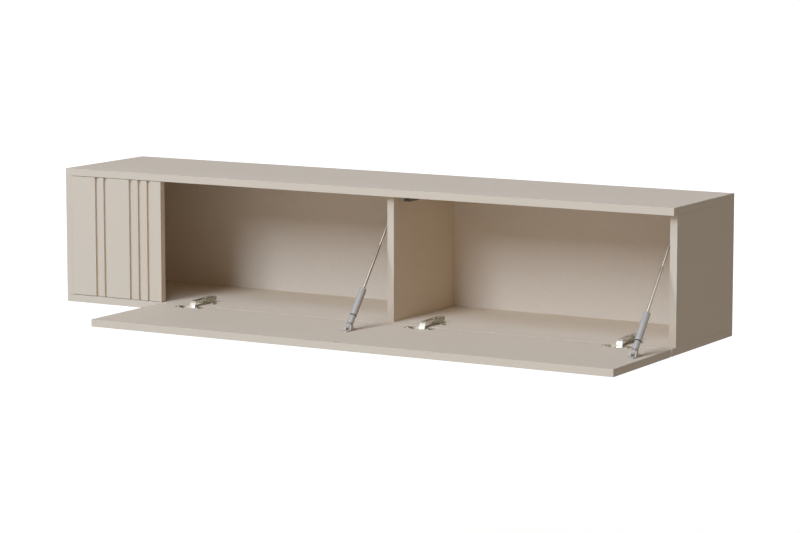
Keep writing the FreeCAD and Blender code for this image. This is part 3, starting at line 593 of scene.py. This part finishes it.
def soften(node: Object, radius_mm: float, segments: int = 2) -> None:
    """Break a CAD node's sharp rims, as sanding or tumbling does.

    Args:
        node: the node's object.
        radius_mm: the size of the broken rim.
        segments: steps across it.
    """
    weld = node.modifiers.new("weld", "WELD")
    weld.merge_threshold = SAME_CORNER_MM * MM
    bevel = node.modifiers.new("broken_rims", "BEVEL")
    bevel.width = radius_mm * MM
    bevel.segments = segments
    bevel.limit_method = "ANGLE"
    bevel.angle_limit = SHARP_TURN
    bevel.use_clamp_overlap = True
    bevel.harden_normals = False


def islands(mesh: Mesh) -> list[tuple[Vector, Vector]]:
    """Find the box of each separate solid in a mesh, in a copy of it.

    Args:
        mesh: a CAD node's mesh.

    Returns:
        Lowest and highest corner of each solid.
    """
    work = bmesh.new()
    work.from_mesh(mesh)
    bmesh.ops.remove_doubles(work, verts=work.verts, dist=SAME_CORNER_MM * MM)
    left = set(work.verts)
    boxes: list[tuple[Vector, Vector]] = []
    while left:
        todo = [left.pop()]
        found = []
        while todo:
            vertex = todo.pop()
            found.append(vertex.co.copy())
            for edge in vertex.link_edges:
                other = edge.other_vert(vertex)
                if other in left:
                    left.remove(other)
                    todo.append(other)
        boxes.append((Vector(map(min, zip(*found))), Vector(map(max, zip(*found)))))
    work.free()
    return boxes


def bar_direction(bar: Object) -> Vector:
    """Find the direction of a plain round bar that stands more up than level.

    Args:
        bar: the bar's CAD node.

    Returns:
        The direction up along it, of length 1.
    """
    corners = [vertex.co for vertex in bar.data.vertices]
    middle = sum(corners, Vector()) / len(corners)
    ends = [[corner for corner in corners if (corner.z > middle.z) is upper]
            for upper in (False, True)]
    low, high = (sum(end, Vector()) / len(end) for end in ends)
    return (high - low).normalized()


def add_piece(name: str, mesh: Mesh, material: Material) -> Object:
    """Put a mesh in the scene as a piece.

    Args:
        name: the piece's name.
        mesh: its mesh.
        material: its finish.

    Returns:
        The new object.
    """
    piece = bpy.data.objects.new(name, mesh)
    bpy.context.scene.collection.objects.link(piece)
    mesh.materials.append(material)
    return piece


@dataclass
class PanHeadScrews:
    """Pan-head screws with a cross recess, one mesh for all the screws of a CAD node."""

    node: str
    body: str
    looks: Axis
    head_radius_mm: float = 3.5
    head_height_mm: float = 1.5
    shank_radius_mm: float = 1.75
    shank_length_mm: float = 11.0
    # The share of the shank above its pointed tip.
    shank_straight: float = 0.8
    slot_length_mm: float = 3.6
    slot_width_mm: float = 0.75
    slot_depth_mm: float = 0.9
    # The recess narrows to this share of its length at the bottom.
    slot_taper: float = 0.55
    # The second slot is this much wider, so that no faces of the two coincide.
    slot_overlap: float = 1.02
    # Each screw is turned this much further than the one before, in radians.
    turn_step: float = 0.7
    steps: int = 28
    # Shares of the head's radius and height, from the crown to the seat.
    dome: tuple[tuple[float, float], ...] = (
        (0.0, 1.0), (0.55, 0.98), (0.82, 0.84), (0.96, 0.55), (1.0, 0.2), (0.97, 0.0))
    seats: list[Vector] = field(default_factory=list)

    def find_seats(self, node: Object) -> None:
        """Find where each screw's head sits on its plate.

        Args:
            node: the CAD node's object.
        """
        direction = Vector(self.looks.value)
        axis = max(range(3), key=lambda index: abs(direction[index]))
        for low, high in islands(node.data):
            seat = (low + high) / 2
            tip = high[axis] if direction[axis] > 0 else low[axis]
            seat[axis] = tip - direction[axis] * self.head_height_mm * MM
            self.seats.append(seat)

    def head_profile(self) -> list[tuple[float, float]]:
        """Give radius and height of the domed head and the shank, in millimetres.

        Returns:
            Points from the crown's middle down to the shank's tip.
        """
        head = [(self.head_radius_mm * across, self.head_height_mm * up)
                for across, up in self.dome]
        return head + [
            (self.shank_radius_mm, 0.0),
            (self.shank_radius_mm, -self.shank_length_mm * self.shank_straight),
            (0.0, -self.shank_length_mm)]

    def turned(self) -> Mesh:
        """Turn the profile round Z.

        Returns:
            One screw's mesh without its recess.
        """
        work = bmesh.new()
        rings = []
        for radius, height in self.head_profile():
            count = self.steps if radius else 1
            rings.append([work.verts.new((
                radius * MM * math.cos(2 * math.pi * step / count),
                radius * MM * math.sin(2 * math.pi * step / count), height * MM))
                for step in range(count)])
        for upper, lower in zip(rings, rings[1:]):
            for step in range(self.steps):
                after = (step + 1) % self.steps
                corners = [upper[step % len(upper)], lower[step % len(lower)],
                           lower[after % len(lower)], upper[after % len(upper)]]
                work.faces.new(list(dict.fromkeys(corners)))
        bmesh.ops.recalc_face_normals(work, faces=work.faces)
        mesh = bpy.data.meshes.new("screw")
        work.to_mesh(mesh)
        work.free()
        return mesh

    def recess(self) -> Mesh:
        """Make the cross-shaped tool that leaves the recess.

        Returns:
            The tool's mesh.
        """
        work = bmesh.new()
        for turn, widen in ((0.0, 1.0), (math.pi / 2, self.slot_overlap)):
            cube = bmesh.ops.create_cube(work, size=1.0)["verts"]
            for vertex in cube:
                narrow = self.slot_taper if vertex.co.z < 0 else 1.0
                vertex.co = Vector((
                    vertex.co.x * self.slot_length_mm * narrow,
                    vertex.co.y * self.slot_width_mm * widen,
                    vertex.co.z * 2 * self.slot_depth_mm + self.head_height_mm)) * MM
            bmesh.ops.rotate(work, verts=cube, matrix=Matrix.Rotation(turn, 3, "Z"))
        mesh = bpy.data.meshes.new("recess")
        work.to_mesh(mesh)
        work.free()
        return mesh

    def one_screw(self) -> Mesh:
        """Cut the recess out of one turned screw.

        Returns:
            The finished screw's mesh, looking up from the origin.
        """
        screw = bpy.data.objects.new("screw", self.turned())
        tool = bpy.data.objects.new("recess", self.recess())
        for item in (screw, tool):
            bpy.context.scene.collection.objects.link(item)
        cut = screw.modifiers.new("recess", "BOOLEAN")
        cut.operation = "DIFFERENCE"
        cut.solver = "EXACT"
        cut.use_self = True
        cut.object = tool
        seen = bpy.context.evaluated_depsgraph_get()
        mesh = bpy.data.meshes.new_from_object(screw.evaluated_get(seen))
        bpy.data.objects.remove(screw)
        bpy.data.objects.remove(tool)
        return mesh

    def build(self, node: Object, material: Material) -> None:
        """Set a screw on each seat and let the set stand for the CAD node.

        Args:
            node: the CAD node's object.
            material: the screws' finish.
        """
        self.find_seats(node)
        screw = self.one_screw()
        tilt = Vector(Axis.UP.value).rotation_difference(Vector(self.looks.value))
        work = bmesh.new()
        for index, seat in enumerate(self.seats):
            start = len(work.verts)
            work.from_mesh(screw)
            work.verts.ensure_lookup_table()
            spin = Matrix.Rotation(self.turn_step * index, 4, "Z")
            move = Matrix.Translation(seat) @ tilt.to_matrix().to_4x4() @ spin
            bmesh.ops.transform(work, matrix=move, verts=work.verts[start:])
        mesh = bpy.data.meshes.new(f"{self.node}_turned")
        work.to_mesh(mesh)
        work.free()
        piece = add_piece(f"{self.node}_set", mesh, material)
        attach(piece, self.body)
        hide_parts(self.node)


# ---------------------------------------------------------------- sub-assemblies
@dataclass
class Carcass:
    """The fixed boards, the back and the fluted front."""

    nodes: dict[str, Object]
    rim_mm: float = 0.3
    flute_rim_mm: float = 0.6
    flute_rim_steps: int = 3
    boards: dict[str, Grain] = field(default_factory=lambda: {
        "top_panel": Grain.ALONG_X, "bottom_panel": Grain.ALONG_X,
        "left_side_panel": Grain.ALONG_Y, "right_side_panel": Grain.ALONG_Y,
        "centre_divider": Grain.ALONG_Y,
    })

    def dress_boards(self) -> None:
        """Give each board its own decor and edging line."""
        finish = MelamineBoard()
        for name, grain in self.boards.items():
            dress(self.nodes[name], finish.make(name, *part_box(name), grain))
            soften(self.nodes[name], self.rim_mm)

    def dress_back(self) -> None:
        """Give the back its lacquer."""
        dress(self.nodes["back_panel"], LacqueredHardboard().make())

    def dress_fluted_front(self) -> None:
        """Give the fluted front its foil, which wraps the flutes and has no edging line."""
        wrapped = MelamineBoard(edging_mm=NO_EDGING_MM)
        dress(self.nodes["fluted_front"],
              wrapped.make("fluted_front", *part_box("fluted_front"), Grain.ALONG_Z))
        soften(self.nodes["fluted_front"], self.flute_rim_mm, self.flute_rim_steps)

    def dress_joinery(self) -> None:
        """Give the dowels, cams and bolts their wood and metal."""
        dress(self.nodes["panel_dowels"], TurnedBeech().make())
        dress(self.nodes["cam_locks"], ZINC.make())
        dress(self.nodes["cam_bolts"], SCREW_STEEL.make())

    def build(self) -> None:
        """Dress the whole carcass."""
        self.dress_boards()
        self.dress_back()
        self.dress_fluted_front()
        self.dress_joinery()
        LOG.info("carcass: %d boards, back, fluted front, joinery", len(self.boards))


@dataclass
class Flap:
    """The drop-down front and the strike on it."""

    nodes: dict[str, Object]
    rim_mm: float = 0.3

    def build(self) -> None:
        """Dress the flap and its strike."""
        board = MelamineBoard().make("flap_panel", *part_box("flap_panel"), Grain.ALONG_X)
        dress(self.nodes["flap_panel"], board)
        soften(self.nodes["flap_panel"], self.rim_mm)
        dress(self.nodes["latch_strike"], SCREW_STEEL.make())
        LOG.info("flap: panel and strike")


@dataclass
class Hinges:
    """The three concealed hinges and their screws."""

    nodes: dict[str, Object]
    sides: tuple[str, ...] = ("left", "middle", "right")
    satin_parts: tuple[str, ...] = ("plate", "arm")
    bright_parts: tuple[str, ...] = ("bridge", "knuckle", "cup")
    rim_mm: float = 0.3
    adjusting_shank_mm: float = 7.0

    def build(self) -> None:
        """Dress each hinge, plate and arm satin and the rest bright, and set the screws."""
        bright = NICKEL.make()
        satin = NICKEL_SATIN.make()
        finishes = {**dict.fromkeys(self.satin_parts, satin),
                    **dict.fromkeys(self.bright_parts, bright)}
        for side in self.sides:
            for part, material in finishes.items():
                node = self.nodes[f"hinge_{part}_{side}"]
                dress(node, material)
                soften(node, self.rim_mm)
        steel = SCREW_STEEL.make()
        for screws in (
            PanHeadScrews("hinge_plate_screws", "cabinet", Axis.UP),
            PanHeadScrews("hinge_adjusting_screws", "cabinet", Axis.UP,
                          shank_length_mm=self.adjusting_shank_mm),
            PanHeadScrews("hinge_cup_screws", "flap", Axis.UP),
        ):
            screws.build(self.nodes[screws.node], steel)
        LOG.info("hinges: %d sets", len(self.sides))


@dataclass
class Stays:
    """The two telescopic flap stays with feet, heads and screws."""

    nodes: dict[str, Object]
    sides: tuple[str, ...] = ("left", "right")
    rim_mm: float = 0.3
    groove_mm: float = 1.85

    def build(self) -> None:
        """Dress each stay and set its screws."""
        plastic = GREY_ACETAL.make()
        paint = SILVER_PAINT.make()
        steel = STEEL.make()
        for side in self.sides:
            finishes = {"foot": plastic, "fitting": paint, "barrel": self.barrel_finish(side),
                        "tube": steel, "rod": steel, "socket": plastic, "head": plastic}
            for part, material in finishes.items():
                node = self.nodes[f"stay_{part}_{side}"]
                dress(node, material)
                soften(node, self.rim_mm)
        screw_steel = SCREW_STEEL.make()
        for screws in (PanHeadScrews("stay_foot_screws", "flap", Axis.UP),
                       PanHeadScrews("stay_head_screws", "cabinet", Axis.LEFT)):
            screws.build(self.nodes[screws.node], screw_steel)
        LOG.info("stays: %d sets", len(self.sides))

    def barrel_finish(self, side: str) -> Material:
        """Make a barrel's paint, with painted shade as a dark band in the ring groove at its
        foot end.

        Args:
            side: which stay.

        Returns:
            The material.
        """
        along = bar_direction(self.nodes[f"stay_rod_{side}"])
        barrel = self.nodes[f"stay_barrel_{side}"]
        lowest = min(vertex.co.dot(along) for vertex in barrel.data.vertices)
        return BARREL_PAINT_WITH_GROOVE_SHADE.make(side, along, lowest + self.groove_mm * MM)


@dataclass
class LatchAndHangers:
    """The push latch under the top panel and the wall plates with their hooks."""

    nodes: dict[str, Object]
    sides: tuple[str, ...] = ("left", "right")
    latch_rim_mm: float = 0.3
    sheet_rim_mm: float = 0.25

    def build(self) -> None:
        """Dress the latch and the hangers and set their screws."""
        for name, plastic in (("latch_housing", BROWN_ACETAL), ("latch_plunger", DARK_ACETAL)):
            dress(self.nodes[name], plastic.make())
            soften(self.nodes[name], self.latch_rim_mm)
        sheet = SHEET_STEEL.make()
        for side in self.sides:
            for name in (f"wall_plate_{side}", f"hanger_hook_{side}"):
                dress(self.nodes[name], sheet)
                soften(self.nodes[name], self.sheet_rim_mm)
        steel = SCREW_STEEL.make()
        for screws in (PanHeadScrews("latch_screws", "cabinet", Axis.DOWN),
                       PanHeadScrews("hanger_screws", "cabinet", Axis.DOWN)):
            screws.build(self.nodes[screws.node], steel)
        LOG.info("latch and hangers dressed")


# ---------------------------------------------------------------- studio
@dataclass(frozen=True)
class Softbox:
    """A soft rectangular lamp that looks at the console."""

    name: str
    place: Point
    width: float
    height: float
    watts: float
    colour: str
    aim: Point = (0.0, -0.2, 0.1)

    def hang(self) -> None:
        """Hang the lamp in its place and turn it to its aim."""
        lamp = bpy.data.lights.new(self.name, "AREA")
        lamp.shape = "RECTANGLE"
        lamp.size = self.width
        lamp.size_y = self.height
        lamp.energy = self.watts
        lamp.color = linear(self.colour)[:3]
        holder = bpy.data.objects.new(self.name, lamp)
        holder.location = self.place
        look = Vector(self.aim) - Vector(self.place)
        holder.rotation_euler = look.to_track_quat("-Z", "Y").to_euler()
        bpy.context.scene.collection.objects.link(holder)


@dataclass(frozen=True)
class Studio:
    """Pale floor, white surroundings, soft lamps and the camera."""

    floor_level: float = -0.62
    floor_size: float = 60.0
    floor_paint: str = "d8d6d0"
    # The floor glows a little less near the console, so that its shadow stays.
    glow_near: float = 0.8
    glow_far: float = 1.0
    near: float = 2.0
    far: float = 8.0
    fill_colour: str = "ffe8ce"
    fill_strength: float = 0.138
    # In front, a weak one higher up and a warm one low on the right.
    lamps: tuple[Softbox, ...] = (
        Softbox("key_softbox", (-6.6, -29.1, 19.2), 13.5, 16.5, 8650.0, "deedff"),
        Softbox("high_softbox", (0.0, -3.2, 5.6), 3.0, 3.0, 150.0, "d3e2ff"),
        Softbox("right_softbox", (6.5, -6.5, 1.0), 5.0, 3.0, 22.0, "ffdab2",
                aim=(0.3, -0.2, 0.1)),
    )
    camera_place: Point = (3.24831, -5.74249, 1.02409)
    camera_turn: float = 29.9123
    camera_dip: float = 8.0196
    lens_mm: float = 135.04
    sensor_mm: float = 36.0
    farthest_seen: float = 200.0

    def make_floor(self) -> None:
        """Lay the floor, white to the eye and to gloss where no shadow falls."""
        mesh = bpy.data.meshes.new("floor")
        half = self.floor_size / 2
        mesh.from_pydata([(-half, -half, 0), (half, -half, 0), (half, half, 0),
                          (-half, half, 0)], [], [(0, 1, 2, 3)])
        floor = bpy.data.objects.new("floor", mesh)
        floor.location.z = self.floor_level
        bpy.context.scene.collection.objects.link(floor)
        mesh.materials.append(self.floor_finish())

    def floor_finish(self) -> Material:
        """Make the floor's paint, with the glow that only direct looks at it see.

        Returns:
            The material.
        """
        material, tree = new_material("white_painted_floor")
        paint = add_node(tree, "ShaderNodeBsdfDiffuse", inputs={
            "Color": linear(self.floor_paint)})
        distance = measure_vector(tree, "LENGTH", place_on_part(tree))
        glow = add_node(tree, "ShaderNodeEmission", inputs={
            "Strength": spread(tree, distance, self.glow_near, self.glow_far,
                               self.near, self.far)})
        both = add_node(tree, "ShaderNodeAddShader", inputs={
            0: paint.outputs[0], 1: glow.outputs[0]})
        close_material(tree, add_node(tree, "ShaderNodeMixShader", inputs={
            0: self.seen_directly(tree), 1: paint.outputs[0], 2: both.outputs[0]}))
        return material

    def seen_directly(self, tree: NodeTree) -> NodeSocket:
        """Mark rays from the camera and those that gloss or glass send on.

        Args:
            tree: the tree that asks.

        Returns:
            1 for such rays and 0 for the others.
        """
        path = add_node(tree, "ShaderNodeLightPath").outputs
        shine = calculate(tree, "MAXIMUM", path["Is Glossy Ray"], path["Is Transmission Ray"])
        return calculate(tree, "MAXIMUM", path["Is Camera Ray"], shine)

    def make_world(self) -> None:
        """Surround the set with white that lights it only a little."""
        world = bpy.data.worlds.new("studio_white")
        bpy.context.scene.world = world
        world.use_nodes = True
        tree = world.node_tree
        tree.nodes.clear()
        fill = add_node(tree, "ShaderNodeBackground", inputs={
            "Color": linear(self.fill_colour), "Strength": self.fill_strength})
        white = add_node(tree, "ShaderNodeBackground", inputs={
            "Color": linear("ffffff"), "Strength": 1.0})
        mix = add_node(tree, "ShaderNodeMixShader", inputs={
            0: self.seen_directly(tree), 1: fill.outputs[0], 2: white.outputs[0]})
        add_node(tree, "ShaderNodeOutputWorld", inputs={"Surface": mix.outputs[0]})

    def make_camera(self) -> None:
        """Set the camera to the console's front right, a little above it."""
        lens = bpy.data.cameras.new("camera")
        lens.lens = self.lens_mm
        lens.sensor_width = self.sensor_mm
        lens.clip_end = self.farthest_seen
        camera = bpy.data.objects.new("camera", lens)
        camera.location = self.camera_place
        camera.rotation_euler = (math.radians(90 - self.camera_dip), 0.0,
                                 math.radians(self.camera_turn))
        bpy.context.scene.collection.objects.link(camera)
        bpy.context.scene.camera = camera

    def build(self) -> None:
        """Set up the whole studio."""
        self.make_floor()
        self.make_world()
        for lamp in self.lamps:
            lamp.hang()
        self.make_camera()
        bpy.context.scene.view_settings.view_transform = "Standard"
        LOG.info("studio ready")


def main() -> None:
    """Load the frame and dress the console."""
    logging.basicConfig(level=logging.INFO)
    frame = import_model()
    nodes = frame["nodes"]
    Studio().build()
    Carcass(nodes).build()
    Flap(nodes).build()
    Hinges(nodes).build()
    Stays(nodes).build()
    LatchAndHangers(nodes).build()


if __name__ == "__main__":
    main()
